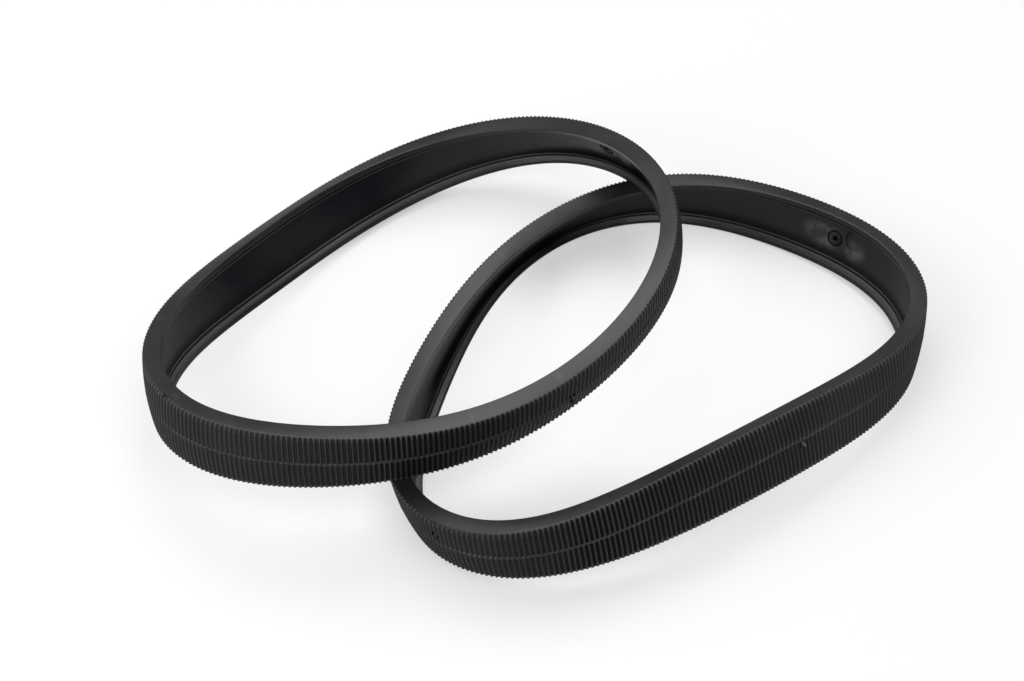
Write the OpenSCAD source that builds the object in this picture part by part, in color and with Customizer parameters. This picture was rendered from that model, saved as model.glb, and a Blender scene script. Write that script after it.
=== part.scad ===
// A pair of endless rubber tracks as they lie together: the lower one stands on its edge on the
// ground, and the upper one leans over it, with one end on the ground. Both are slightly saddle
// shaped, so that parts of their edges stand clear of the ground. Each track is built up in layers,
// from the ribbed tread outside to the smooth wheel channel inside. Millimetres, +Z up, with the
// origin on the ground under the middle of the pair.

/* [Belt] */
// Length round the outside of the track, along the edge of its tread
girth = 600; // [520:10:720]
// Width of the track, from side face to side face
belt_w = 25; // [21:0.5:30]
// Thickness at the edges, from the rib crests to the lips
edge_t = 6.75; // [5.75:0.25:8.5]
// Straight steps that make up one lap
steps = 80; // [52:2:104]

/* [Tread] */
// Thickness of the tread cover at the edges
tread_t = 2.1; // [1.6:0.1:2.6]
// Height of the ribs over their grooves
rib_h = 0.8; // [0.3:0.1:1]
// Ribs in each step of the lap
ribs_per_step = 4; // [2:1:5]
// How far the middle of the tread stands proud of its edges
crown_h = 1; // [0.4:0.1:1.6]

/* [Layers] */
// Thickness of the cushion gum under the tread
cushion_t = 0.4; // [0.2:0.1:0.6]
// Thickness of the band of wound tension cord
cord_t = 1; // [0.6:0.1:1.2]
// Thickness of the fabric ply
ply_t = 0.3; // [0.2:0.05:0.4]
// Thickness of the inner cover, the floor of the wheel channel
cover_t = 0.6; // [0.4:0.1:0.8]

/* [Lips] */
// Width of each lip with its ledge, along the width of the track
lip_w = 4.6; // [4:0.1:5.4]
// Width of the lip's flat land, next to the side face
land_w = 2.3; // [1.8:0.1:2.8]
// Slope of the lip's inner wall, across its foot
draft_w = 0.4; // [0.1:0.1:0.8]
// Height of the low ledge at the lip's foot over the channel floor
ledge_h = 0.35; // [0.15:0.05:0.6]
// Rounding of the lip's edges
lip_r = 0.4; // [0.2:0.1:0.6]
// Clearance between the layers' ends and the lips
end_gap = 0.1; // [0.05:0.05:0.2]

/* [Lie of the pair] */
// How far the lower loop's middle lies from the upper loop's, across
apart_x = 86; // [80:1:92]
// How far the lower loop's middle lies from the upper loop's, along
apart_y = -19; // [-24:1:-14]
// Clearance where the upper track lies over the lower one
rest_gap = 0.2; // [0.1:0.1:0.4]

/* [Hidden] */

// The heading of a loop turns through 360 degrees in one lap. Each row below adds a swing to it:
// waves in a lap, size of the swing and the place of its first peak, both in degrees.
LOWER_START = 13.25;
LOWER_BENDS = [[2, 17.25, -38], [3, 11, -54], [4, 0.75, 123], [5, 2.75, 159]];
UPPER_START = -5.5;
UPPER_BENDS = [[2, 13.25, 2], [3, 6.5, -62], [4, 3, -152], [5, 1.5, -178]];
// The wall leans in and out as the rubber twists. The rows read like those above, and a row of 0
// waves is the lean all round. Positive leans the top outwards.
LOWER_LEANS = [[0, -5.25, 0], [1, 8.25, -151], [2, 18.75, -147], [3, 1.75, 7]];
UPPER_LEANS = [[0, 3.5, 0], [1, 6.75, -15], [2, 18.5, 104], [3, 2.5, -45]];
// The path itself climbs and falls along the lap, in waves that read like those above
LOWER_CLIMBS = [[1, 3.25, -80], [2, 5.25, -65], [3, 1.5, -179]];
UPPER_CLIMBS = [[2, 8.75, 163], [3, 0.75, 25]];
// First guess at the upper track's tilt, and rounds of the search for its resting place. A tilt is
// its uphill direction in plan and its angle.
FIRST_TILT = [-44, 11];
SEAT_ROUNDS = 4;

rubber_black = [0.13, 0.13, 0.14];
gum_grey = [0.35, 0.35, 0.33];
cord_straw = [0.72, 0.66, 0.5];
ply_green = [0.3, 0.36, 0.3];
cover_black = [0.1, 0.1, 0.12];
lip_black = [0.2, 0.2, 0.22];

half_w = belt_w / 2;
step_l = girth / steps;
lip_in = half_w - lip_w;
core_half = lip_in - end_gap;
cushion_n = -tread_t;
cord_n = cushion_n - cushion_t;
ply_n = cord_n - cord_t;
cover_n = ply_n - ply_t;
floor_n = cover_n - cover_t;
columns = 2 * ribs_per_step;

// Sum of a list of numbers or points
function total(v, i = 0) = i == len(v) - 1 ? v[i] : v[i] + total(v, i + 1);

// Sum of the waves in a table at a place along the lap, from 0 to 1
function waves(table, u) =
    total([for (row = table) row[1] * cos(row[0] * 360 * u - row[2])]);

function heading(start, bends, u) = start + 360 * u + waves(bends, u);

// Direction of the path at a place along the lap, and the section's own upward direction
function along(lay, u) =
    let (a = heading(lay[0], lay[1], u), b = waves(lay[3], u))
    [cos(b) * cos(a), cos(b) * sin(a), sin(b)];
function upward(lay, u) =
    let (a = heading(lay[0], lay[1], u), b = waves(lay[3], u))
    [-sin(b) * cos(a), -sin(b) * sin(a), cos(b)];

// Points of a loop, one in the middle of each step, round their own middle. The steps are shifted
// by an equal amount so that the loop closes.
function loop_points(lay) =
    let (
        raw = [for (i = [0:steps - 1]) step_l * along(lay, i / steps)],
        slip = total(raw) / steps,
        dir = [for (d = raw) d - slip],
        pts = [for (i = 0, p = dir[0] / 2; i < steps;
            p = p + dir[i] / 2 + dir[(i + 1) % steps] / 2, i = i + 1) p],
        mid = total(pts) / steps
    )
    [for (p = pts) p - mid];

// Frames along a loop: the point, the outward and the upward direction, and the lean of the wall
function loop_frames(lay) =
    let (pts = loop_points(lay))
    [for (i = [0:steps - 1])
        let (a = heading(lay[0], lay[1], i / steps))
        [pts[i], [sin(a), -cos(a), 0], upward(lay, i / steps), waves(lay[2], i / steps)]];

// Place of a section point: n is outwards from the crest line, z is up from mid-width
function at(frame, n, z) =
    let (c = cos(frame[3]), s = sin(frame[3]))
    frame[0] + frame[1] * (n * c + z * s) + frame[2] * (z * c - n * s);

lower_frames = loop_frames([LOWER_START, LOWER_BENDS, LOWER_LEANS, LOWER_CLIMBS]);
upper_frames = loop_frames([UPPER_START, UPPER_BENDS, UPPER_LEANS, UPPER_CLIMBS]);

// The lower track's highest edge and the upper track's lowest edge, where the two can touch
function highest_edge(frames) =
    [for (f = frames) let (a = at(f, 0, half_w), b = at(f, -edge_t, half_w)) a.z > b.z ? a : b];
function lowest_edge(frames) =
    [for (f = frames) let (a = at(f, 0, -half_w), b = at(f, -edge_t, -half_w)) a.z < b.z ? a : b];

lower_shift = [apart_x, apart_y, -min([for (p = lowest_edge(lower_frames)) p.z])];
lower_crest = [for (p = highest_edge(lower_frames)) p + lower_shift];
upper_seat = lowest_edge(upper_frames);

// Turns a point of the level track by a tilt
function tilt_point(tilt, p) =
    let (
        c = cos(tilt[0]),
        s = sin(tilt[0]),
        along = p.x * c + p.y * s,
        side = p.y * c - p.x * s,
        far = along * cos(tilt[1]) - p.z * sin(tilt[1])
    )
    [far * c - side * s, far * s + side * c, along * sin(tilt[1]) + p.z * cos(tilt[1])];

// Share of the way along p-q, and along r-s, at which the two meet in plan
function meeting(p, q, r, s) =
    let (
        d = q - p,
        e = s - r,
        w = r - p,
        k = d.x * e.y - d.y * e.x
    )
    k == 0 ? [-1, -1] : [(w.x * e.y - w.y * e.x) / k, (w.x * d.y - w.y * d.x) / k];

// Points at which edge a passes over edge b: the place and height on b, and how far a lies below
// its clearance over b
function crossings(a, b) = [
    for (i = [0:steps - 1])
        for (j = [0:steps - 1])
            let (
                next = b[(j + 1) % steps],
                m = meeting(a[i], a[(i + 1) % steps], b[j], next),
                over = a[i] + (a[(i + 1) % steps] - a[i]) * m[0],
                under = b[j] + (next - b[j]) * m[1]
            )
            if (m[0] >= 0 && m[0] < 1 && m[1] >= 0 && m[1] < 1)
                [under.x, under.y, under.z + rest_gap - over.z]
];

// The upper track rests at three places: on the ground at its low end, and on the lower track
// where the two cross. Each round turns it about its foot until all three touch.
function seat(rounds) =
    rounds < 1 ? FIRST_TILT :
    let (
        tilt = seat(rounds - 1),
        level = [for (p = upper_seat) tilt_point(tilt, p)],
        low = min([for (p = level) p.z]),
        edge = [for (p = level) [p.x, p.y, p.z - low]],
        foot = [for (p = edge) if (p.z == 0) p][0],
        over = crossings(edge, lower_crest),
        a = over[0] - foot,
        b = over[1] - foot,
        turn = [a.z * b.y - b.z * a.y, b.z * a.x - a.z * b.x] / (a.x * b.y - b.x * a.y),
        slope = tan(tilt[1]) * [cos(tilt[0]), sin(tilt[0])] + turn
    )
    [atan2(slope.y, slope.x), atan(norm(slope))];

tilt = seat(SEAT_ROUNDS);
upper_rise = -min([for (p = upper_seat) tilt_point(tilt, p).z]);

// The middle of the pair's footprint
outline = concat(
    [for (f = lower_frames) for (z = [-half_w, 0, half_w]) at(f, z == 0 ? crown_h : 0, z) + lower_shift],
    [for (f = upper_frames) for (z = [-half_w, 0, half_w]) tilt_point(tilt, at(f, z == 0 ? crown_h : 0, z))]
);
xs = [for (p = outline) p.x];
ys = [for (p = outline) p.y];
middle = [(min(xs) + max(xs)) / 2, (min(ys) + max(ys)) / 2, 0];

module place_lower() {
    translate(lower_shift - middle)
        children();
}

module place_upper() {
    translate([0, 0, upper_rise] - middle)
        rotate([0, 0, tilt[0]])
            rotate([0, -tilt[1], 0])
                rotate([0, 0, -tilt[0]])
                    children();
}

// A layer or a lip: a section of [n, z] points, counter-clockwise, carried round a loop. Every
// square between two steps is cut along the same diagonal, so that touching layers match.
module carried(frames, section) {
    m = len(section);
    points = [for (f = frames) for (p = section) at(f, p[0], p[1])];
    faces = [
        for (i = [0:steps - 1])
            for (j = [0:m - 1])
                let (
                    k = (j + 1) % m,
                    a = i * m + j,
                    b = i * m + k,
                    c = (i + 1) % steps * m + k,
                    d = (i + 1) % steps * m + j,
                    rising = section[j][1] < section[k][1]
                )
                each rising ? [[a, b, c], [a, c, d]] : [[a, b, d], [b, c, d]]
    ];
    polyhedron(points, faces, convexity = 10);
}

// The tread cover: ribs stand as crests and grooves across the whole width, on a crowned face
module ribbed_cover(frames) {
    levels = [-half_w, 0, half_w];
    backs = [-half_w, -lip_in, -core_half, core_half, lip_in, half_w];
    back_count = len(backs);
    all_columns = steps * columns;
    outer = [
        for (i = [0:steps - 1])
            for (c = [0:columns - 1])
                for (z = levels)
                    let (
                        n = (z == 0 ? crown_h : 0) - (c % 2 == 1 ? rib_h : 0),
                        p = at(frames[i], n, z),
                        q = at(frames[(i + 1) % steps], n, z)
                    )
                    p + (q - p) * c / columns
    ];
    inner = [for (f = frames) for (z = backs) at(f, -tread_t, z)];
    first_inner = len(outer);
    function out(k, level) = k % all_columns * 3 + level;
    function back(i, level) = first_inner + i % steps * back_count + level;
    face_walls = [
        for (k = [0:all_columns - 1])
            for (l = [0:1])
                each [
                    [out(k, l), out(k, l + 1), out(k + 1, l + 1)],
                    [out(k, l), out(k + 1, l + 1), out(k + 1, l)]
                ]
    ];
    back_walls = [
        for (i = [0:steps - 1])
            for (l = [0:back_count - 2])
                each [
                    [back(i, l + 1), back(i, l), back(i + 1, l + 1)],
                    [back(i, l), back(i + 1, l), back(i + 1, l + 1)]
                ]
    ];
    // A side face: fans from the two inner corners of each step to the rib ends
    function side(i, ol, bl) = [
        for (c = [0:columns - 1])
            let (corner = c < columns / 2 ? back(i, bl) : back(i + 1, bl))
            [corner, out(i * columns + c, ol), out(i * columns + c + 1, ol)],
        [back(i, bl), out(i * columns + columns / 2, ol), back(i + 1, bl)]
    ];
    bottom = [for (i = [0:steps - 1]) each side(i, 0, 0)];
    top = [for (i = [0:steps - 1]) for (t = side(i, 2, back_count - 1)) [t[0], t[2], t[1]]];
    polyhedron(concat(outer, inner), concat(face_walls, back_walls, bottom, top), convexity = 10);
}

// Section of a plain layer between two depths
function band(outer_n, t) = [
    [outer_n - t, -core_half], [outer_n, -core_half], [outer_n, core_half], [outer_n - t, core_half]
];

// Section of a lip, from its side face over its land and down to the ledge beside the channel
// floor; side is 1 for the top, -1 for the bottom
function lip(side) =
    let (
        z_land = half_w - land_w,
        ledge_n = floor_n - ledge_h,
        shape = [
            [-tread_t, half_w],
            [-edge_t + lip_r, half_w],
            [-edge_t, half_w - lip_r],
            [-edge_t, z_land + lip_r / 2],
            [-edge_t + lip_r / 2, z_land],
            [ledge_n, z_land - draft_w],
            [ledge_n, lip_in],
            [-tread_t, lip_in]
        ]
    )
    side > 0 ? shape : [for (i = [len(shape) - 1:-1:0]) [shape[i][0], -shape[i][1]]];

module lower_tread_cover() {
    color(rubber_black) place_lower() ribbed_cover(lower_frames);
}

module lower_cushion_gum() {
    color(gum_grey) place_lower() carried(lower_frames, band(cushion_n, cushion_t));
}

module lower_cord_band() {
    color(cord_straw) place_lower() carried(lower_frames, band(cord_n, cord_t));
}

module lower_fabric_ply() {
    color(ply_green) place_lower() carried(lower_frames, band(ply_n, ply_t));
}

module lower_inner_cover() {
    color(cover_black) place_lower() carried(lower_frames, band(cover_n, cover_t));
}

module lower_bottom_lip() {
    color(lip_black) place_lower() carried(lower_frames, lip(-1));
}

module lower_top_lip() {
    color(lip_black) place_lower() carried(lower_frames, lip(1));
}

module upper_tread_cover() {
    color(rubber_black) place_upper() ribbed_cover(upper_frames);
}

module upper_cushion_gum() {
    color(gum_grey) place_upper() carried(upper_frames, band(cushion_n, cushion_t));
}

module upper_cord_band() {
    color(cord_straw) place_upper() carried(upper_frames, band(cord_n, cord_t));
}

module upper_fabric_ply() {
    color(ply_green) place_upper() carried(upper_frames, band(ply_n, ply_t));
}

module upper_inner_cover() {
    color(cover_black) place_upper() carried(upper_frames, band(cover_n, cover_t));
}

module upper_bottom_lip() {
    color(lip_black) place_upper() carried(upper_frames, lip(-1));
}

module upper_top_lip() {
    color(lip_black) place_upper() carried(upper_frames, lip(1));
}

lower_tread_cover();
lower_cushion_gum();
lower_cord_band();
lower_fabric_ply();
lower_inner_cover();
lower_bottom_lip();
lower_top_lip();
upper_tread_cover();
upper_cushion_gum();
upper_cord_band();
upper_fabric_ply();
upper_inner_cover();
upper_bottom_lip();
upper_top_lip();
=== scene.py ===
# %% [markdown]
# # Two ribbed rubber tracks
# The part is a pair of endless rubber tracks. One stands on its edge on the ground, and the other
# leans over it. Each is a ring of moulded rubber: a ribbed tread outside, two flat side faces, and
# a smooth wheel channel between two lips inside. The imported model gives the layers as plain
# facets. Here the four layers that can be seen get their real surface, by carrying one section
# round one path.

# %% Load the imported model
import math
import bmesh
import bpy
from mathutils import Matrix, Vector


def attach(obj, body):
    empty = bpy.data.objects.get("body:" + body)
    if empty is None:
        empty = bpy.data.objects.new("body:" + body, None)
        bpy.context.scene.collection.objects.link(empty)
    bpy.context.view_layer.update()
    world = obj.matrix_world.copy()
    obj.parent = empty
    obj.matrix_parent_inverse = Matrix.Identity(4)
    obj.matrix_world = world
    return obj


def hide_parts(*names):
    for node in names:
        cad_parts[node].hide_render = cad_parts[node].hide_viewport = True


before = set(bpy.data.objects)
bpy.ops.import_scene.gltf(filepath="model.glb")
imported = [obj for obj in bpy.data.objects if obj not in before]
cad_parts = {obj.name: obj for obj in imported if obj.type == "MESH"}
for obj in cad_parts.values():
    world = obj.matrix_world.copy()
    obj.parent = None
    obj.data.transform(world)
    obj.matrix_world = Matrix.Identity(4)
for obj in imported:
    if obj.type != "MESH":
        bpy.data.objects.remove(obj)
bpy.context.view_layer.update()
MM = 0.001

# %% [markdown]
# A node tree reads best when its sums look like sums. `Link` wraps one socket, so that `1 - mask`
# adds a Math node. `Maker` adds every other node: its kind, its settings, and then what goes into
# its sockets, which may be plain values or links.

# %% Sockets that do arithmetic
class Link:
    def __init__(self, maker, socket):
        self.maker = maker
        self.socket = socket

    def math(self, operation, *values):
        return self.maker.math(operation, self, *values)

    def __add__(self, other):
        return self.math("ADD", other)

    def __sub__(self, other):
        return self.math("SUBTRACT", other)

    def __rsub__(self, other):
        return self.maker.math("SUBTRACT", other, self)

    def __mul__(self, other):
        return self.math("MULTIPLY", other)

    def __truediv__(self, other):
        return self.math("DIVIDE", other)

    __rmul__ = __mul__


class Maker:
    def __init__(self, tree):
        self.tree = tree

    def node(self, kind, settings=None, inputs=None, out=0):
        node = self.tree.nodes.new(kind)
        for name, value in (settings or {}).items():
            if name == "stops":
                ramp = node.color_ramp
                while len(ramp.elements) < len(value):
                    ramp.elements.new(0.5)
                for stop, (place, colour) in zip(ramp.elements, value):
                    stop.position = place
                    stop.color = colour
            else:
                setattr(node, name, value)
        for name, value in (inputs or {}).items():
            if isinstance(value, Link):
                self.tree.links.new(value.socket, node.inputs[name])
            else:
                node.inputs[name].default_value = value
        return Link(self, node.outputs[out])

    def math(self, operation, *values):
        return self.node("ShaderNodeMath", {"operation": operation}, dict(enumerate(values)))

    def remap(self, value, low, high, new_low=0.0, new_high=1.0):
        return self.node("ShaderNodeMapRange", {"interpolation_type": "SMOOTHSTEP"},
                         {"Value": value, "From Min": low, "From Max": high,
                          "To Min": new_low, "To Max": new_high})

    def mix(self, factor, low, high):
        node = self.tree.nodes.new("ShaderNodeMix")
        node.data_type = "RGBA"
        for place, value in ((0, factor), (6, low), (7, high)):
            if isinstance(value, Link):
                self.tree.links.new(value.socket, node.inputs[place])
            else:
                node.inputs[place].default_value = value
        return Link(self, node.outputs[2])


print("Link and Maker are ready")

# %% [markdown]
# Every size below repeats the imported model's. The path of a loop is a rule: its heading turns
# once in a lap, and a few waves swing it about. More waves make the path climb and fall, because a
# loop of thick rubber never lies quite flat, and make the wall lean in and out as it twists.

# %% Sizes and the lie of the two loops
GIRTH = 600.0
BELT_W = 25.0
EDGE_T = 6.75
TREAD_T = 2.1
FLOOR_N = -4.4
LIP_W = 4.6
LAND_W = 2.3
DRAFT_W = 0.4
LEDGE_H = 0.35
LIP_R = 0.4
CROWN_H = 1.0
RIB_H = 0.8
RIBS = 320
HALF_W = BELT_W / 2
LIP_IN = HALF_W - LIP_W

LAYS = {
    "lower": {
        "start": 13.25,
        "bends": [(2, 17.25, -38), (3, 11, -54), (4, 0.75, 123), (5, 2.75, 159)],
        "leans": [(0, -5.25, 0), (1, 8.25, -151), (2, 18.75, -147), (3, 1.75, 7)],
        "climbs": [(1, 3.25, -80), (2, 5.25, -65), (3, 1.5, -179)],
    },
    "upper": {
        "start": -5.5,
        "bends": [(2, 13.25, 2), (3, 6.5, -62), (4, 3, -152), (5, 1.5, -178)],
        "leans": [(0, 3.5, 0), (1, 6.75, -15), (2, 18.5, 104), (3, 2.5, -45)],
        "climbs": [(2, 8.75, 163), (3, 0.75, 25)],
    },
}
MIDDLE = Vector((45.4758, -9.46766, 0))
APART = Vector((86, -19, 17.9017))
UPHILL, TILT, RISE = math.radians(-44.2334), math.radians(11.2395), 33.5947
PLACES = {
    "lower": Matrix.Translation(APART - MIDDLE),
    "upper": (Matrix.Translation(Vector((0, 0, RISE)) - MIDDLE)
              @ Matrix.Rotation(UPHILL, 4, "Z") @ Matrix.Rotation(-TILT, 4, "Y")
              @ Matrix.Rotation(-UPHILL, 4, "Z")),
}


def waves(rows, lap):
    return sum(size * math.cos(math.radians(count * 360 * lap - peak))
               for count, size, peak in rows)


def lie_points(name, count):
    """Points of a loop: place of mid-width, outward direction, upward direction and lean."""
    lay = LAYS[name]
    turns, steps, ups = [], [], []
    for i in range(count):
        a = math.radians(lay["start"] + 360 * i / count + waves(lay["bends"], i / count))
        b = math.radians(waves(lay["climbs"], i / count))
        turns.append(a)
        steps.append(Vector((math.cos(b) * math.cos(a), math.cos(b) * math.sin(a), math.sin(b)))
                     * GIRTH / count)
        ups.append(Vector((-math.sin(b) * math.cos(a), -math.sin(b) * math.sin(a), math.cos(b))))
    slip = sum(steps, Vector()) / count
    steps = [step - slip for step in steps]
    points, point = [], steps[0] / 2
    for i in range(count):
        points.append(point.copy())
        point += steps[i] / 2 + steps[(i + 1) % count] / 2
    centre = sum(points, Vector()) / count
    return [(points[i] - centre, Vector((math.sin(turns[i]), -math.cos(turns[i]), 0)), ups[i],
             math.radians(waves(lay["leans"], i / count))) for i in range(count)]


FINE = 8 * RIBS
LIES = {name: lie_points(name, FINE) for name in LAYS}


def spot(name, lap, n, z):
    """The world place, in millimetres, of a section point at a place along a lap."""
    place = lap % 1 * FINE
    low, share = int(place) % FINE, place % 1
    a, b = LIES[name][low], LIES[name][(low + 1) % FINE]
    point, outward, upward = (a[k].lerp(b[k], share) for k in range(3))
    lean = a[3] + (b[3] - a[3]) * share
    c, s = math.cos(lean), math.sin(lean)
    local = point + outward * (n * c + z * s) + upward * (z * c - n * s)
    return PLACES[name] @ local


print("the lower loop's front is at", [round(v, 1) for v in spot("lower", 0, 0, 0)])
print("the upper loop's front is at", [round(v, 1) for v in spot("upper", 0, 0, 0)])

# %% [markdown]
# The camera stands in front of the pair and looks down at it at about 49 degrees, through a
# moderately long lens, so that both loops show as ovals and their insides can be seen.

# %% Camera
camera_data = bpy.data.cameras.new("camera")
camera_data.sensor_width = 36
camera_data.lens = 66.8
camera_data.clip_end = 20
camera = bpy.data.objects.new("camera", camera_data)
bpy.context.scene.collection.objects.link(camera)
VIEW_DOWN = math.radians(48.85)
VIEW_FAR = 751.83
VIEW_AT = Vector((-12.437, 13.739, 0))
VIEW_FROM = Vector((0, -math.cos(VIEW_DOWN), math.sin(VIEW_DOWN)))
camera.location = (VIEW_AT + VIEW_FAR * VIEW_FROM) * MM
camera.rotation_euler = (math.pi / 2 - VIEW_DOWN, 0, 0)
bpy.context.scene.camera = camera
print("camera at", [round(v, 3) for v in camera.location])

# %% [markdown]
# One Geometry Nodes tree makes every ring. It takes a path of points, which carry the lean of the
# wall, and a section drawn as a closed outline. Curve to Mesh carries the section round. On the
# tread it then sinks the grooves: the place along the lap, times the number of ribs, gives a wave,
# and each point of the section says how far it follows that wave. The two halves of the tread are
# out of step, so a second mark on the section shifts the wave.

# %% The ring tree
def ring_tree():
    tree = bpy.data.node_groups.new("ring", "GeometryNodeTree")
    face = tree.interface
    for name, kind in (("Path", "Geometry"), ("Section", "Object"), ("Ribs", "Float"),
                       ("Groove depth", "Float"), ("Crest share", "Float"),
                       ("Floor share", "Float"), ("Material", "Material")):
        face.new_socket(name, in_out="INPUT", socket_type="NodeSocket" + kind)
    face.new_socket("Ring", in_out="OUTPUT", socket_type="NodeSocketGeometry")
    make = Maker(tree)
    inputs = tree.nodes.new("NodeGroupInput")
    given = {socket.name: Link(make, socket) for socket in inputs.outputs if socket.name}

    def named(name, kind="FLOAT"):
        return make.node("GeometryNodeInputNamedAttribute", {"data_type": kind}, {"Name": name})

    rail = make.node("GeometryNodeMeshToCurve", None, {"Mesh": given["Path"]})
    rail = make.node("GeometryNodeSetCurveNormal", {"mode": "Z_UP"}, {"Curve": rail})
    rail = make.node("GeometryNodeSetCurveTilt", None, {"Curve": rail, "Tilt": named("lean")})
    section = make.node("GeometryNodeObjectInfo", None, {"Object": given["Section"]}, out=4)
    section = make.node("GeometryNodeMeshToCurve", None, {"Mesh": section})
    ring = make.node("GeometryNodeCurveToMesh", None, {"Curve": rail, "Profile Curve": section})
    wave = (named("lap") * given["Ribs"] + named("shift")).math("FRACT")
    off_crest = (wave - 0.5).math("ABSOLUTE") * 2
    groove = make.remap(off_crest, given["Crest share"], given["Floor share"]) * named("follow")
    sink = make.node("ShaderNodeVectorMath", {"operation": "SCALE"},
                     {"Vector": named("outward", "FLOAT_VECTOR"),
                      "Scale": 0 - groove * given["Groove depth"]})
    ring = make.node("GeometryNodeSetPosition", None, {"Geometry": ring, "Offset": sink})
    ring = make.node("GeometryNodeStoreNamedAttribute", {"data_type": "FLOAT", "domain": "POINT"},
                     {"Geometry": ring, "Name": "groove", "Value": groove})
    ring = make.node("GeometryNodeSetShadeSmooth", None, {"Geometry": ring})
    ring = make.node("GeometryNodeRealizeInstances", None, {"Geometry": ring})
    ring = make.node("GeometryNodeSetMaterial", None,
                     {"Geometry": ring, "Material": given["Material"]})
    outputs = tree.nodes.new("NodeGroupOutput")
    tree.links.new(ring.socket, outputs.inputs[0])
    return tree


RING = ring_tree()
print("ring tree has", len(RING.nodes), "nodes")

# %% [markdown]
# The paths and sections are plain point objects that only the tree reads, so they are not linked
# to the scene and are removed at the end. A section row holds depth from the crest line, height
# from mid-width, how far the point follows the grooves, and how far its wave is shifted.

# %% Paths and sections
def path_object(name, count):
    rows = LIES[name][::FINE // count]
    mesh = bpy.data.meshes.new("path_" + name)
    edges = [(i, (i + 1) % count) for i in range(count)]
    mesh.from_pydata([row[0] * MM for row in rows], edges, [])
    for key, kind, values in (
            ("lean", "FLOAT", [row[3] for row in rows]),
            ("lap", "FLOAT", [i / count for i in range(count)])):
        mesh.attributes.new(key, kind, "POINT").data.foreach_set("value", values)
    out = [row[1] * math.cos(row[3]) - row[2] * math.sin(row[3]) for row in rows]
    mesh.attributes.new("outward", "FLOAT_VECTOR", "POINT").data.foreach_set(
        "vector", [value for vector in out for value in vector])
    return bpy.data.objects.new("path_" + name, mesh)


def section_object(name, rows):
    rows = [tuple(row) + (0.0,) * (4 - len(row)) for row in rows]
    mesh = bpy.data.meshes.new("section_" + name)
    mesh.from_pydata([(n * MM, -z * MM, 0) for n, z, _, _ in rows],
                     [(i, (i + 1) % len(rows)) for i in range(len(rows))], [])
    for key, place in (("across", 1), ("follow", 2), ("shift", 3), ("depth", 0)):
        mesh.attributes.new(key, "FLOAT", "POINT").data.foreach_set(
            "value", [row[place] for row in rows])
    return bpy.data.objects.new("section_" + name, mesh)


COARSE_PATHS = {name: path_object(name, 2 * RIBS) for name in LAYS}
FINE_PATHS = {name: path_object(name, FINE) for name in LAYS}
print("path points", 2 * RIBS, "and", FINE)

# %% [markdown]
# A ring is finished the same way each time: the tree is evaluated, the result is kept as a plain
# mesh, its place in the pair is put into the mesh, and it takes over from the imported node.

# %% Making one ring
def ring(node, path, section, material, **sizes):
    track = node.split("_")[0]
    carrier = bpy.data.objects.new(node + "_carrier", path.data)
    bpy.context.scene.collection.objects.link(carrier)
    modifier = carrier.modifiers.new("ring", "NODES")
    modifier.node_group = RING
    values = {"Section": section, "Material": material, "Ribs": 0.0, "Groove depth": 0.0,
              "Crest share": 0.3, "Floor share": 0.8, **sizes}
    for item in RING.interface.items_tree:
        if item.item_type == "SOCKET" and item.name in values:
            modifier[item.identifier] = values[item.name]
    depsgraph = bpy.context.evaluated_depsgraph_get()
    mesh = bpy.data.meshes.new_from_object(carrier.evaluated_get(depsgraph))
    carrier.modifiers.clear()
    bpy.data.objects.remove(carrier)
    mesh.name = node + "_dressed"
    mesh.transform(Matrix.Scale(MM, 4) @ PLACES[track] @ Matrix.Scale(1 / MM, 4))
    form = bmesh.new()
    form.from_mesh(mesh)
    if form.calc_volume(signed=True) < 0:
        bmesh.ops.reverse_faces(form, faces=form.faces)
    form.to_mesh(mesh)
    volume = form.calc_volume()
    form.free()
    mesh.set_sharp_from_angle(angle=math.radians(50))
    piece = bpy.data.objects.new(node + "_dressed", mesh)
    bpy.context.scene.collection.objects.link(piece)
    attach(piece, track + "_track")
    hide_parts(node)
    print(piece.name, len(mesh.polygons), "faces", round(volume * 1e9), "mm3")
    return piece


print("ring() is ready")

# %% [markdown]
# Rubber is a dark solid with a weak, blurred mirror. A plain black looks flat, so the colour and
# the roughness both wander a little, and a fine grain breaks the highlights. One piece shows
# several finishes. The mould leaves the side faces greyer and glossier than the rest. Other
# finishes are painted light: the grooves are matt and painted near black as shade, and the crests
# lighter as a painted highlight. Painted sheen lightens the lips' walls and parts of the side
# faces and insides, and painted shade darkens the lower insides and other parts of the side faces.
# Each finish is a shader of its own, and a Mix Shader blends two by a mask. The attribute "across"
# says where on the section a point lies, and "groove" how deep it is sunk.

# %% Rubber finishes
GRAIN_DEPTH = 0.00006


def finish(make, name, base, dusty, rough, mirror):
    """One rubber finish: a Principled shader with a wandering colour and a fine grain."""
    shader = make.tree.nodes.new("ShaderNodeBsdfPrincipled")
    shader.name = name
    shader.inputs["Specular IOR Level"].default_value = mirror
    place = make.node("ShaderNodeTexCoord", out=3)
    cloud = make.node("ShaderNodeTexNoise", None, {"Vector": place, "Scale": 28.0, "Detail": 5.0,
                                                   "Roughness": 0.6})
    grain = make.node("ShaderNodeTexNoise", None,
                      {"Vector": place, "Scale": 2600.0, "Detail": 2.0})
    colour = make.mix(make.remap(cloud, 0.4, 0.7), base + (1.0,), dusty + (1.0,))
    make.tree.links.new(colour.socket, shader.inputs["Base Color"])
    make.tree.links.new(make.remap(cloud, 0.3, 0.7, rough - 0.05, rough + 0.06).socket,
                        shader.inputs["Roughness"])
    bump = make.node("ShaderNodeBump", None,
                     {"Strength": 0.25, "Distance": GRAIN_DEPTH, "Height": grain})
    make.tree.links.new(bump.socket, shader.inputs["Normal"])
    return Link(make, shader.outputs[0])


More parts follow.
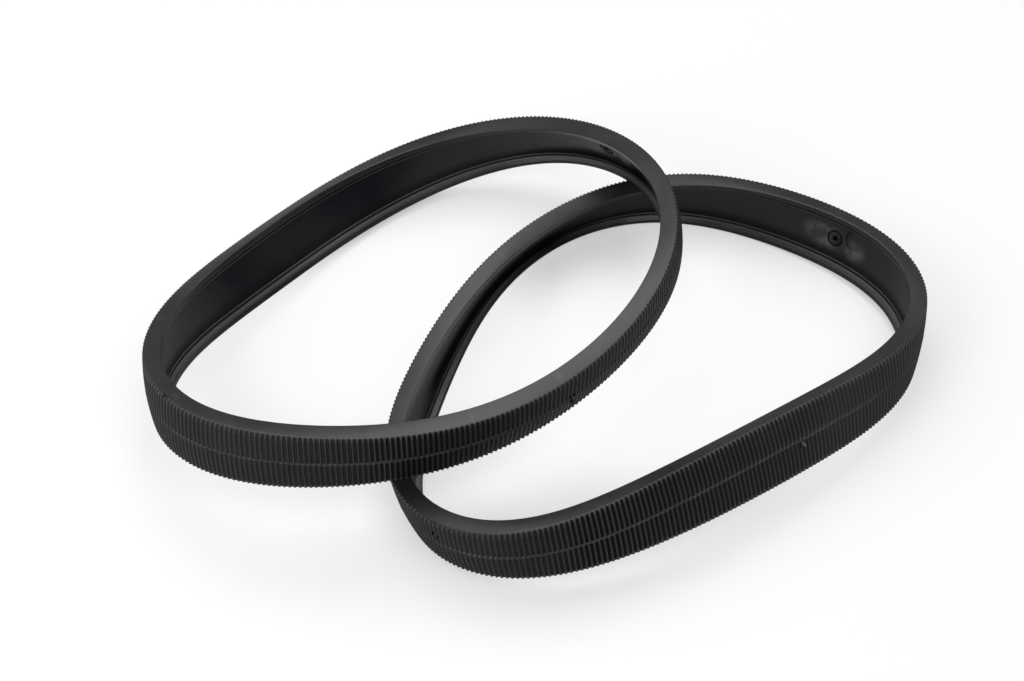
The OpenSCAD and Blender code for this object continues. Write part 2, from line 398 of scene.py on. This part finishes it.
# Each finish: colour where clean, colour where dusty, roughness, strength of its mirror
LOOKS = {
    "side_face": ((0.010, 0.0103, 0.0115), (0.018, 0.018, 0.0185), 0.38, 0.5),
    # Crests lighter as a painted highlight; grooves matt and near black as painted shade
    "crest": ((0.018, 0.019, 0.022), (0.026, 0.027, 0.030), 0.42, 0.5),
    "groove": ((0.0012, 0.0016, 0.0025), (0.0025, 0.003, 0.004), 0.6, 0.08),
    "channel": ((0.0045, 0.0052, 0.0074), (0.0075, 0.0082, 0.010), 0.3, 0.5),
    # Darker: painted shade on the lips' ledges and the lower channel floor
    "ledge": ((0.0020, 0.0024, 0.0034), (0.0035, 0.004, 0.005), 0.5, 0.15),
    # Lighter: painted sheen on side faces and lips' walls, and the real light smears
    "rubbed": ((0.030, 0.031, 0.033), (0.042, 0.042, 0.044), 0.34, 0.5),
    # Lighter still: painted sheen on the lips' walls and the crests' ends
    "polished": ((0.055, 0.056, 0.059), (0.07, 0.07, 0.073), 0.36, 0.5),
    # The real bloom by the gate, and painted sheen on the upper insides
    "bloom_and_sheen": ((0.08, 0.08, 0.085), (0.12, 0.12, 0.125), 0.45, 0.5),
    # Real chalk marks, and a painted highlight on the lips' lands
    "chalk_and_highlight": ((0.2, 0.2, 0.205), (0.26, 0.26, 0.26), 0.5, 0.4),
    # Near black: painted shade inside and on side faces, and the real dark mark of the gate
    "black_mark_and_shade": ((0.0004, 0.0004, 0.0006), (0.0009, 0.0009, 0.0011), 0.7, 0.02),
    "cushion_gum": ((0.03, 0.028, 0.025), (0.04, 0.038, 0.033), 0.7, 0.3),
    "tension_cord": ((0.30, 0.25, 0.17), (0.36, 0.31, 0.22), 0.75, 0.3),
    "fabric_ply": ((0.09, 0.11, 0.09), (0.13, 0.15, 0.13), 0.85, 0.3),
}


def blend(make, mask, low, high):
    return make.node("ShaderNodeMixShader", None, {0: mask, 1: low, 2: high})


def rubber(name, build, *track):
    """A material whose surface is what build(make, track) returns."""
    material = bpy.data.materials.new(name)
    material.use_nodes = True
    tree = material.node_tree
    tree.nodes.remove(tree.nodes["Principled BSDF"])
    surface = build(Maker(tree), *track)
    tree.links.new(surface.socket, tree.nodes["Material Output"].inputs["Surface"])
    return material


def attribute(make, name):
    return make.node("ShaderNodeAttribute", {"attribute_name": name}, out=2)


def band(make, value, stops):
    """A tone that follows a value along a few stops."""
    return make.node("ShaderNodeValToRGB", {"stops": [
        (place, (tone, tone, tone, 1)) for place, tone in stops]}, {"Fac": value})


def reach(make, lap, across, long, wide=None, turn=0.0, up="across"):
    """How far a point lies from a place on the track, as a share of a mark's two radii in mm."""
    c, s = math.cos(math.radians(turn)), math.sin(math.radians(turn))
    x = (attribute(make, "lap") - lap) * GIRTH
    y = attribute(make, up) - across
    a, b = (x * c + y * s) / long, (y * c - x * s) / (wide or long)
    return (a * a + b * b).math("SQRT")


def spot_mask(make, *mark, soft=0.5, up="across"):
    return make.remap(reach(make, *mark, up=up), 1.0 - soft, 1.0, 1.0, 0.0)


def patches(make, scale):
    """A cloudy mask for handling marks and dried release agent."""
    cloud = make.node("ShaderNodeTexNoise", None, {
        "Vector": make.node("ShaderNodeTexCoord", out=3), "Scale": scale, "Detail": 4.0})
    return make.remap(cloud, 0.35, 0.65)


# The gate's mark in each channel, and nicks in each tread: place in the lap, across, radii, turn
GATES = {"upper": (0.3863, 3.4), "lower": (0.330, 1.3)}
NICKS = {
    "upper": {"dark": ((0.1306, 0.4, 1.9, 0.8, -9), (0.1304, -3.5, 4.6, 0.9, -70),
                       (0.8679, 12.4, 1.6)),
              "light": ((0.1290, -5.5, 1.0, 2.0),)},
    "lower": {"dark": ((0.0850, -1.4, 0.7, 2.0), (0.8492, 4.2, 1.2, 0.6), (0.8462, 5.4, 0.6, 1.2)),
              "light": ((0.0873, -1.8, 2.4, 0.35, -67), (0.0859, -1.6, 2.0, 0.3, -67))},
}

# Smears on the upper side faces: place in the lap, depth under the rim, radii, turn
SMEARS = {
    "upper": {"dark": ((0.8698, -0.6, 3.2, 0.8, 20), (0.8698, -0.6, 2.4, 0.7, -40)),
              "light": ((0.124, -3.9, 2.5, 3.0), (0.8738, -3.6, 3.6, 1.7, 10),
                        (0.0637, -3.0, 1.0, 4.2), (0.7889, -2.5, 3.0, 2.0))},
    "lower": {"dark": ((0.8492, -0.3, 1.5, 0.8),), "light": ((0.605, -3.5, 1.5, 4.3),)},
}

# Painted light and shade along a lap, as (place in the lap, amount): sheen and shade inside and on
# the side faces, a highlight on the lands, and a weakening of the grooves' painted shade
LAP_SHEEN_AND_SHADE = {
    "upper": {
        "inside_sheen": ((0.33, 0), (0.355, 0.9), (0.40, 0.8), (0.45, 0.25), (0.5, 0)),
        "inside_shade": ((0.33, 0), (0.36, 1), (0.42, 0.7), (0.48, 0)),
        "side_shade": ((0.33, 0), (0.38, 0.25), (0.42, 0.4), (0.52, 0.35), (0.56, 0)),
        "weak_groove_shade": ((0, 0.3), (0.02, 0.1), (0.05, 0.3), (0.08, 0.5), (0.14, 0.95), (0.2, 0.9),
                        (0.3, 0.4), (0.8, 0.4), (0.86, 1), (0.92, 1), (0.96, 0.7), (1, 0.4)),
        "bright_land": ((0.31, 0), (0.345, 1), (0.38, 0.8), (0.43, 0)),
        "bright_side": ((0.27, 0), (0.3, 0.3), (0.33, 0), (0.56, 0), (0.6, 0.6), (0.65, 0.3),
                        (0.7, 0)),
        "wall": 0.8, "edge_height": 3.0, "edge_slope": -80.0, "fade": (-3.5, 1.5),
        "foot": -8.0, "foot_slope": 0.0,
    },
    "lower": {
        "inside_sheen": ((0.5, 0), (0.54, 0.5), (0.58, 0.85), (0.72, 0.85), (0.76, 0)),
        "inside_shade": ((0.5, 0), (0.55, 1), (0.7, 1), (0.74, 0)),
        "side_shade": ((0.4, 0), (0.44, 0.3), (0.48, 0.3), (0.54, 0), (0.8, 0), (0.84, 0.4),
                       (0.88, 0.3), (0.92, 0)),
        "weak_groove_shade": ((0, 0.2), (0.06, 0.35), (0.09, 0.45), (0.12, 0.8), (0.2, 0.85),
                        (0.3, 0.4), (0.76, 0.4), (0.8, 0.9), (0.88, 0.85), (0.91, 0.45),
                        (0.94, 0.05), (1, 0.2)),
        "bright_side": ((0, 0.4), (0.1, 0.35), (0.15, 0.2), (0.2, 0), (0.95, 0), (1, 0.4)),
        "bright_land": ((0.52, 0), (0.58, 0.3), (0.72, 0.4), (0.76, 0)),
        "wall": 0.35, "edge_height": 4.0, "edge_slope": 0.0, "fade": (-6.5, -0.5),
        "foot": -9.3, "foot_slope": 30.0,
    },
}


def painted_along_lap(make, track, what):
    return band(make, attribute(make, "lap"), LAP_SHEEN_AND_SHADE[track][what])


def inside_sheen_and_shade(make, track, surface):
    """Painted sheen on the upper half where the loop bends in, painted shade darkening the lower
    half to black.
    """
    rules = LAP_SHEEN_AND_SHADE[track]
    edge = (attribute(make, "lap") - 0.36) * rules["edge_slope"] + rules["edge_height"]
    foot = (attribute(make, "lap") - 0.6) * rules["foot_slope"] + rules["foot"]
    height = attribute(make, "across") - edge
    high = make.remap(height, -1.5, 2.0) * painted_along_lap(make, track, "inside_sheen")
    low = make.remap(height, *rules["fade"], 1.0, 0.0) * painted_along_lap(make, track, "inside_shade")
    low = low * make.remap(attribute(make, "across") - foot, -1.0, 1.5, 0.3, 0.95)
    surface = blend(make, high, surface, finish(make, "polished", *LOOKS["bloom_and_sheen"]))
    return blend(make, low, surface, finish(make, "soot", *LOOKS["black_mark_and_shade"]))


def smeared(make, marks):
    """The strongest of the smears at each point of the upper side face."""
    above = make.math("GREATER_THAN", attribute(make, "across"), 0.0)
    smear = 0.0 * above
    for mark in marks:
        smear = smear.math("MAXIMUM", spot_mask(make, *mark, soft=0.9, up="depth") * above)
    return smear


def side_face(make, track):
    light, dark = (smeared(make, SMEARS[track][tone]) for tone in ("light", "dark"))
    # Painted highlight on parts of the side faces, in the same finish as the real light smears.
    bright = blend(make, painted_along_lap(make, track, "bright_side").math("MAXIMUM", light * 0.6),
                   finish(make, "side_face", *LOOKS["side_face"]),
                   finish(make, "bright_side", *LOOKS["rubbed"]))
    # Painted shade on other parts of the side faces, in the same finish as the real dark smears.
    return blend(make, painted_along_lap(make, track, "side_shade").math("MAXIMUM", dark * 0.7), bright,
                 finish(make, "side_soot", *LOOKS["black_mark_and_shade"]))


def side_mask(make):
    return make.remap(attribute(make, "across").math("ABSOLUTE"), HALF_W - 0.35, HALF_W - 0.08)


def tread_surface(make, track):
    """Painted highlight on the crests, painted shade in the grooves, a faint parting line, a
    painted highlight on the crests' ends, and side colour running into the crests' ends.
    """
    from_middle = attribute(make, "across").math("ABSOLUTE")
    groove = attribute(make, "groove")
    # Painted shade in the grooves, weaker along parts of the lap; the real nicks and parting line
    # join it.
    dark = groove * (1.0 - painted_along_lap(make, track, "weak_groove_shade"))
    seam = make.remap(from_middle, 0.2, 0.5, 1.0, 0.0) * (patches(make, 90.0) * 0.35 + 0.1)
    for mark in NICKS[track]["dark"]:
        dark = dark.math("MAXIMUM", spot_mask(make, *mark))
    ribs = blend(make, dark.math("MAXIMUM", seam), finish(make, "crest", *LOOKS["crest"]),
                 finish(make, "groove", *LOOKS["groove"]))
    for mark in NICKS[track]["light"]:
        ribs = blend(make, spot_mask(make, *mark, soft=0.8) * 0.8, ribs,
                     finish(make, "chalk", *LOOKS["chalk_and_highlight"]))
    # Painted highlight: the crests' ends at the edges are made lighter, as if lit from above.
    tips = make.remap(from_middle + (1.0 - groove) * 1.8, HALF_W - 0.5, HALF_W + 0.5, 0.0, 0.75)
    ribs = blend(make, tips, ribs, finish(make, "tips", *LOOKS["polished"]))
    return blend(make, side_mask(make), ribs, side_face(make, track))


def channel_surface(make, track):
    """Smooth floor darkened by painted shade towards the lower lip, with the mark of the gate and
    its bloom.
    """
    # Painted shade: the floor grows darker towards the lower lip.
    low = make.remap(attribute(make, "across"), -7.0, -2.5, 0.75, 0.0)
    floor = blend(make, low, finish(make, "channel", *LOOKS["channel"]),
                  finish(make, "ledge", *LOOKS["ledge"]))
    floor = inside_sheen_and_shade(make, track, floor)
    lap, across = GATES[track]
    gate = reach(make, lap, across, 10.0)
    bloom = spot_mask(make, lap + 0.009, across - 0.5, 13.0, 7.5, soft=0.7)
    bloom = bloom.math("MAXIMUM", spot_mask(make, lap - 0.016, across - 1.5, 8.0, 6.0, soft=0.9))
    floor = blend(make, bloom * (patches(make, 160.0) * 0.65 + 0.2), floor,
                  finish(make, "bloom", *LOOKS["bloom_and_sheen"]))
    rings = band(make, gate, ((0, 1), (0.09, 1), (0.13, 0.6), (0.17, 0.75), (0.21, 0.45),
                              (0.26, 0.5), (0.3, 0.95), (0.35, 0.8), (0.4, 0)))
    swirl = reach(make, lap - 0.0164, across + 3.2, 10.0)
    swirl = band(make, swirl, ((0, 0.25), (0.4, 0.3), (0.5, 0.7), (0.56, 0)))
    swirl = swirl * make.remap(attribute(make, "lap"), lap - 0.018, lap - 0.008)
    return blend(make, rings.math("MAXIMUM", swirl), floor, finish(make, "gate", *LOOKS["black_mark_and_shade"]))


def lip_surface(make, track):
    """Smooth land, a ledge darkened by painted shade, and painted highlights along the step, the
    wall and the land's edge.
    """
    height = attribute(make, "across").math("ABSOLUTE") / HALF_W
    # Painted shade on the ledge.
    ledge = band(make, height, [(8.2 / HALF_W, 0.0), (8.5 / HALF_W, 1.0), (9.1 / HALF_W, 1.0),
                                (9.4 / HALF_W, 0.0)])
    # Painted highlights as thin lines on the step, the wall and the land's rounded edge.
    sheen_mask = band(make, height, [
        (7.9 / HALF_W, 0.8), (8.2 / HALF_W, 0.8), (8.5 / HALF_W, 0.0), (9.0 / HALF_W, 0.0),
        (9.3 / HALF_W, 1.0), (9.9 / HALF_W, 1.0), (10.25 / HALF_W, 0.2), (12.0 / HALF_W, 0.1),
        (12.15 / HALF_W, 0.6)])
    inside = blend(make, ledge, finish(make, "land", *LOOKS["channel"]),
                   finish(make, "ledge", *LOOKS["ledge"]))
    # The wall's painted sheen, faint or strong by the lap table's wall amount.
    rubbed = blend(make, LAP_SHEEN_AND_SHADE[track]["wall"], finish(make, "rubbed", *LOOKS["rubbed"]),
                   finish(make, "wall", *LOOKS["polished"]))
    inside = inside_sheen_and_shade(make, track, blend(make, sheen_mask, inside, rubbed))
    # Painted highlight on the land, along part of the lap.
    land = make.remap(attribute(make, "across"), 10.1, 10.6) * painted_along_lap(make, track, "bright_land")
    inside = blend(make, land, inside, finish(make, "bright_land", *LOOKS["chalk_and_highlight"]))
    return blend(make, side_mask(make), inside, side_face(make, track))


def plain_surface(look):
    return lambda make: finish(make, look, *LOOKS[look])


TREAD_RUBBER = {track: rubber(track + "_tread_rubber", tread_surface, track) for track in LAYS}
LIP_RUBBER = {track: rubber(track + "_lip_rubber", lip_surface, track) for track in LAYS}
CHANNEL_RUBBER = {track: rubber(track + "_channel_rubber", channel_surface, track)
                  for track in LAYS}
HIDDEN = {
    "cushion_gum": rubber("cushion_gum", plain_surface("cushion_gum")),
    "cord_band": rubber("tension_cord", plain_surface("tension_cord")),
    "fabric_ply": rubber("fabric_ply", plain_surface("fabric_ply")),
}
print("rubbers", [m.name for m in bpy.data.materials if "rubber" in m.name])

# %% [markdown]
# The tread cover carries two rows of ribs that meet at a thin line in the middle, out of step by
# three eighths of a rib. The face is crowned, and it rounds over to the side faces. The grooves
# run out through them, so the ends of the ribs stand as small teeth along both edges. The section
# gives the crests. A point's third number says how far it follows the grooves: fully on the face
# and at the teeth, not at all below them, and hardly at all on the middle line.

# %% Tread covers
SEAM_HALF = 0.22
SEAM_RISE = 0.03
SHIFT = 0.375
CORNER = 0.45


def crown(z):
    return CROWN_H * (1 - (z / HALF_W) ** 2)


def tread_half(shift):
    """Half of the ribbed face, from beside the middle line out to the side face."""
    rows = [(crown(SEAM_HALF), SEAM_HALF, 0.12, shift)]
    rows += [(crown(z), z, 1.0, shift) for z in (0.6, 3, 6, 9, 11)]
    rows += [(crown(HALF_W - CORNER), HALF_W - CORNER, 0.75, shift)]
    for turn, follow in ((30, 0.65), (60, 0.5), (90, 0.4)):
        turn = math.radians(turn)
        rows.append((CORNER * (math.cos(turn) - 1) + 0.1 * math.cos(turn),
                     HALF_W - CORNER * (1 - math.sin(turn)), follow, shift))
    rows.append((-1.25, HALF_W))
    return rows + [(-TREAD_T, HALF_W)]


def tread_section():
    lower = [(n, -z, *rest) for n, z, *rest in reversed(tread_half(SHIFT))]
    return lower + [(crown(0) + SEAM_RISE, 0, 0.0, 0.0)] + tread_half(0.0)


TREAD_SECTION = section_object("tread", tread_section())
for track in LAYS:
    ring(track + "_tread_cover", FINE_PATHS[track], TREAD_SECTION, TREAD_RUBBER[track], **{
        "Ribs": float(RIBS), "Groove depth": RIB_H * MM, "Crest share": 0.2, "Floor share": 0.65})

# %% [markdown]
# The wheel channel's floor is smooth. Each lip has a flat land next to the side face, a short wall
# down towards the channel, and a low ledge at its foot that ends in a fine step. All of its
# corners are a little round, as the mould's are, so that they catch thin lines of light.

# %% Inner covers and lips
COVER_N = -3.8
LAND_R = 0.25
LEDGE_R = 0.3
STEP_R = 0.12
DRAFT_RUN = 2
COVER_SECTION = section_object("cover", [
    (COVER_N, -LIP_IN), (COVER_N, LIP_IN), (FLOOR_N, LIP_IN), (FLOOR_N, 0), (FLOOR_N, -LIP_IN)])


def arc(n, z, radius, start, end, count=4):
    """Points on an arc, with angles in degrees from outwards towards the top."""
    return [(n + radius * math.cos(math.radians(start + (end - start) * i / (count - 1))),
             z + radius * math.sin(math.radians(start + (end - start) * i / (count - 1))))
            for i in range(count)]


def lip_section(side):
    land_z, ledge_n = HALF_W - LAND_W, FLOOR_N - LEDGE_H
    slope = math.degrees(math.atan2(DRAFT_W, DRAFT_RUN))
    rows = [(-TREAD_T, LIP_IN), (-TREAD_T, HALF_W)]
    rows += arc(-EDGE_T + LIP_R, HALF_W - LIP_R, LIP_R, 90, 180)
    rows += arc(-EDGE_T + LAND_R, land_z + LAND_R, LAND_R, 180, 270 - slope)
    rows += arc(ledge_n - LEDGE_R, land_z - DRAFT_W - LEDGE_R, LEDGE_R, 90 - slope, 0)
    rows += arc(ledge_n + STEP_R, LIP_IN + STEP_R, STEP_R, 180, 270, 3)
    return rows if side > 0 else [(n, -z) for n, z in reversed(rows)]


LIP_SECTIONS = {"top": section_object("top_lip", lip_section(1)),
                "bottom": section_object("bottom_lip", lip_section(-1))}
for track in LAYS:
    ring(track + "_inner_cover", COARSE_PATHS[track], COVER_SECTION, CHANNEL_RUBBER[track])
    for edge, section in LIP_SECTIONS.items():
        ring(f"{track}_{edge}_lip", COARSE_PATHS[track], section, LIP_RUBBER[track])

# %% [markdown]
# The three inner layers can't be seen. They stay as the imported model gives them, each with the
# finish it would show if the track were cut open.

# %% Hidden layers
for track in LAYS:
    for layer, material in HIDDEN.items():
        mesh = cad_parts[f"{track}_{layer}"].data
        mesh.materials.clear()
        mesh.materials.append(material)
print("hidden layers dressed:", len(HIDDEN) * len(LAYS))

# %% [markdown]
# The pair lies on a plain white floor. The floor is lit like everything else and keeps the soft
# shadows, and a little white is added to it for the camera alone, so that it reads as paper white
# without any more light on the rubber.

# %% Floor, world and lamps
PAPER_SEEN = (0.78, 0.78, 0.78, 1)
PAPER_BOUNCED = (0.35, 0.35, 0.35, 1)
FLOOR_HALF = 6
floor_mesh = bpy.data.meshes.new("floor")
floor_mesh.from_pydata([(x * FLOOR_HALF, y * FLOOR_HALF, 0)
                        for x, y in ((-1, -1), (1, -1), (1, 1), (-1, 1))], [], [(0, 1, 2, 3)])
floor = bpy.data.objects.new("floor", floor_mesh)
bpy.context.scene.collection.objects.link(floor)
floor_look = bpy.data.materials.new("paper_white")
floor_look.use_nodes = True
floor_make = Maker(floor_look.node_tree)
floor_shader = floor_look.node_tree.nodes["Principled BSDF"]
floor_shader.inputs["Roughness"].default_value = 0.9
floor_shader.inputs["Specular IOR Level"].default_value = 0.0
floor_rays = floor_look.node_tree.nodes.new("ShaderNodeLightPath")
seen = Link(floor_make, floor_rays.outputs["Is Camera Ray"])
grey = floor_make.mix(seen, PAPER_BOUNCED, PAPER_SEEN)
floor_look.node_tree.links.new(grey.socket, floor_shader.inputs["Base Color"])
white = floor_make.node("ShaderNodeEmission", None, {"Strength": 1.0})
lit = Link(floor_make, floor_shader.outputs[0])


def shadow_fade_patch(make, centre, radii):
    """A round patch where more white is added for the camera: painted light that fades the shadows
    on it.
    """
    place = make.node("ShaderNodeTexCoord", out=3)
    place = make.node("ShaderNodeVectorMath", {"operation": "SUBTRACT"}, {0: place, 1: centre})
    place = make.node("ShaderNodeVectorMath", {"operation": "DIVIDE"}, {0: place, 1: radii})
    far = make.node("ShaderNodeVectorMath", {"operation": "LENGTH"}, {0: place}, out=1)
    return make.remap(far, 0.6, 1.15, 1.0, 0.0)


# Painted light: the shadows on the floor inside the two loops are faded.
shadow_fade = shadow_fade_patch(floor_make, (-0.06, 0.015, 0), (0.075, 0.055, 1)).math(
    "MAXIMUM", shadow_fade_patch(floor_make, (0.055, -0.005, 0), (0.085, 0.06, 1)))
paper = floor_make.node("ShaderNodeMixShader", None,
                        {0: seen * (shadow_fade * 0.36 + 0.44), 1: lit, 2: white})
floor_look.node_tree.links.new(paper.socket,
                               floor_look.node_tree.nodes["Material Output"].inputs["Surface"])
floor_mesh.materials.append(floor_look)

world = bpy.data.worlds.new("studio")
bpy.context.scene.world = world
world.use_nodes = True
world_make = Maker(world.node_tree)
rays = world.node_tree.nodes.new("ShaderNodeLightPath")
world_shader = world.node_tree.nodes["Background"]
world_shader.inputs["Color"].default_value = (1, 1, 1, 1)
strength = Link(world_make, rays.outputs["Is Camera Ray"]) * 0.72 + 0.28
world.node_tree.links.new(strength.socket, world_shader.inputs["Strength"])


def soft_box(name, place, size, watts):
    """A lamp that shines on the middle of the pair."""
    data = bpy.data.lights.new(name, "AREA")
    data.shape = "RECTANGLE"
    data.size, data.size_y = size
    data.energy = watts
    lamp = bpy.data.objects.new(name, data)
    lamp.location = place
    lamp.rotation_euler = (-Vector(place)).to_track_quat("-Z", "Y").to_euler()
    bpy.context.scene.collection.objects.link(lamp)


def around(turn, height, far=1.3):
    """A place at a bearing and a height above the ground, in degrees."""
    turn, height = math.radians(turn), math.radians(height)
    return (far * math.cos(height) * math.cos(turn), far * math.cos(height) * math.sin(turn),
            far * math.sin(height))


# Each soft box: bearing and height in degrees, size in metres, power in watts
for side, turn, height, size, watts in (
        ("top_back", 90, 70, (0.9, 0.9), 8.2), ("back_left", 135, 50, (0.6, 0.6), 2.0),
        ("back_right", 35, 32, (0.6, 0.6), 1.8), ("left", 180, 42, (0.7, 0.9), 3.6),
        ("front", -67, 58, (0.8, 0.6), 4.7), ("front_left", -135, 35, (0.6, 0.6), 5.5)):
    soft_box(side + "_box", around(turn, height), size, watts)
bpy.context.scene.view_settings.view_transform = "Standard"

# %% [markdown]
# Last, the helpers are cleared away.

# %% Finish
for helper in [*COARSE_PATHS.values(), *FINE_PATHS.values(), *LIP_SECTIONS.values(),
               COVER_SECTION, TREAD_SECTION]:
    bpy.data.objects.remove(helper)
